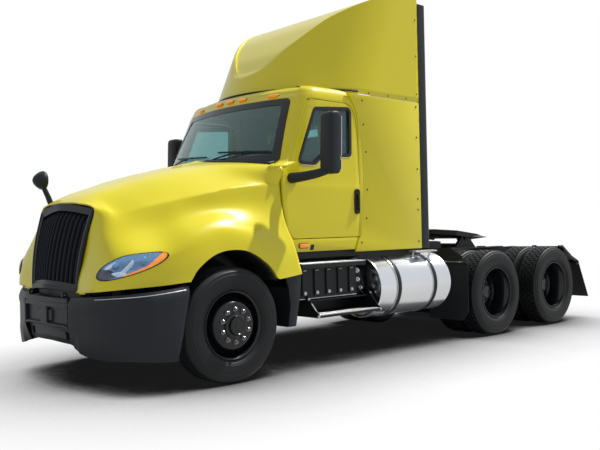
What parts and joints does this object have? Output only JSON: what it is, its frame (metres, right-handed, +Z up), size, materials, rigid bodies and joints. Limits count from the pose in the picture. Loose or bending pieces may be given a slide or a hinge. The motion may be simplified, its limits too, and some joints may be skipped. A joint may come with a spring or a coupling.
{
  "type": "semi truck tractor unit",
  "caption": "Day cab tractor unit with steered front axle, driven tandem on twin wheels, tilting hood, opening doors, roof fairing and a fifth wheel.",
  "frame": {"origin": "on the ground under the middle of the vehicle's box", "axes": "+X forward, +Y to the vehicle's left, +Z up"},
  "size_m": [7.2835, 2.808, 3.9299],
  "materials": {
    "yellow_paint": "gloss",
    "black_plastic": "moulded, matt",
    "chassis_black": "satin black paint",
    "wheel_black": "gloss black paint",
    "tyre_rubber": "road tyre",
    "cast_engine": "dull",
    "aluminium_core": "dull fins",
    "tank_aluminium": "polished",
    "deck_aluminium": "tread plate",
    "tinted_glass": "tinted",
    "clear_lens": "clear lens",
    "amber_lens": "amber lens",
    "seat_fabric": "dark cloth",
    "flap_rubber": "matt"
  },
  "bodies": {
    "chassis": {"frame": "chassis_black", "front_axle": "chassis_black", "front_springs": "chassis_black", "drive_axles": "chassis_black", "rear_suspension": "chassis_black", "engine_block": "cast_engine", "drive_line": "chassis_black", "radiator": "aluminium_core", "bumper": "black_plastic", "fuel_tanks": "tank_aluminium", "tank_straps": "chassis_black", "step_boxes": "chassis_black", "cab_shell": "yellow_paint", "cab_glass": "tinted_glass", "dashboard": "black_plastic", "seats": "seat_fabric", "roof_fairing": "yellow_paint", "side_extenders": "yellow_paint", "extender_trims": "black_plastic", "deck_plates": "deck_aluminium", "fifth_wheel_base": "chassis_black", "mudflaps": "flap_rubber", "lamps": "amber_lens"},
    "hood": {"hood": "yellow_paint", "grille": "black_plastic", "headlamps": "clear_lens", "hood_fittings": "black_plastic"},
    "fifth_wheel_plate": {"fifth_wheel_plate": "chassis_black"},
    "tie_rod": {"tie_rod": "chassis_black"},
    "knuckle_left": {"knuckle_left": "chassis_black"},
    "steer_wheel_left": {"steer_tyre_left": "tyre_rubber", "steer_wheel_left": "wheel_black"},
    "door_left": {"door_left": "yellow_paint", "door_glass_left": "tinted_glass", "door_fittings_left": "black_plastic"},
    "knuckle_right": {"knuckle_right": "chassis_black"},
    "steer_wheel_right": {"steer_tyre_right": "tyre_rubber", "steer_wheel_right": "wheel_black"},
    "door_right": {"door_right": "yellow_paint", "door_glass_right": "tinted_glass", "door_fittings_right": "black_plastic"},
    "drive_wheels_front_left": {"drive_tyres_front_left": "tyre_rubber", "drive_wheels_front_left": "wheel_black"},
    "drive_wheels_front_right": {"drive_tyres_front_right": "tyre_rubber", "drive_wheels_front_right": "wheel_black"},
    "drive_wheels_rear_left": {"drive_tyres_rear_left": "tyre_rubber", "drive_wheels_rear_left": "wheel_black"},
    "drive_wheels_rear_right": {"drive_tyres_rear_right": "tyre_rubber", "drive_wheels_rear_right": "wheel_black"}
  },
  "joints": [
    {"name": "steering_left", "type": "hinge", "parent": "chassis", "child": "knuckle_left", "pos_m": [2.443, 0.9, 0.505], "axis": [0, 0, 1], "range_deg": [-35, 35]},
    {"name": "steer_wheel_spin_left", "type": "hinge", "parent": "knuckle_left", "child": "steer_wheel_left", "pos_m": [2.443, 1.025, 0.505], "axis": [0, 1, 0], "continuous": true},
    {"name": "door_hinge_left", "type": "hinge", "parent": "chassis", "child": "door_left", "pos_m": [1.751, 1.03, 1.6], "axis": [0, 0, -1], "range_deg": [0, 70]},
    {"name": "steering_right", "type": "hinge", "parent": "chassis", "child": "knuckle_right", "pos_m": [2.443, -0.9, 0.505], "axis": [0, 0, 1], "range_deg": [-35, 35]},
    {"name": "steer_wheel_spin_right", "type": "hinge", "parent": "knuckle_right", "child": "steer_wheel_right", "pos_m": [2.443, -1.025, 0.505], "axis": [0, 1, 0], "continuous": true},
    {"name": "door_hinge_right", "type": "hinge", "parent": "chassis", "child": "door_right", "pos_m": [1.751, -1.03, 1.6], "axis": [0, 0, 1], "range_deg": [0, 70]},
    {"name": "drive_spin_front_left", "type": "hinge", "parent": "chassis", "child": "drive_wheels_front_left", "pos_m": [-1.445, 0.9195, 0.505], "axis": [0, 1, 0], "continuous": true},
    {"name": "drive_spin_front_right", "type": "hinge", "parent": "chassis", "child": "drive_wheels_front_right", "pos_m": [-1.445, -0.9195, 0.505], "axis": [0, 1, 0], "continuous": true},
    {"name": "drive_spin_rear_left", "type": "hinge", "parent": "chassis", "child": "drive_wheels_rear_left", "pos_m": [-2.766, 0.9195, 0.505], "axis": [0, 1, 0], "continuous": true},
    {"name": "drive_spin_rear_right", "type": "hinge", "parent": "chassis", "child": "drive_wheels_rear_right", "pos_m": [-2.766, -0.9195, 0.505], "axis": [0, 1, 0], "continuous": true},
    {"name": "hood_tilt", "type": "hinge", "parent": "chassis", "child": "hood", "pos_m": [3.603, 0, 0.815], "axis": [0, 1, 0], "range_deg": [0, 75]},
    {"name": "fifth_wheel_tilt", "type": "hinge", "parent": "chassis", "child": "fifth_wheel_plate", "pos_m": [-1.907, 0, 1.145], "axis": [0, 1, 0], "range_deg": [0, 20]},
    {"name": "tie_rod_swing", "type": "hinge", "parent": "knuckle_left", "child": "tie_rod", "pos_m": [2.283, 0.9, 0.386], "axis": [0, 0, 1], "range_deg": [-35, 35]}
  ],
  "couplings": [
    {"joint": "steering_right", "follows": "steering_left", "ratio": 1},
    {"joint": "tie_rod_swing", "follows": "steering_left", "ratio": -1}
  ]
}
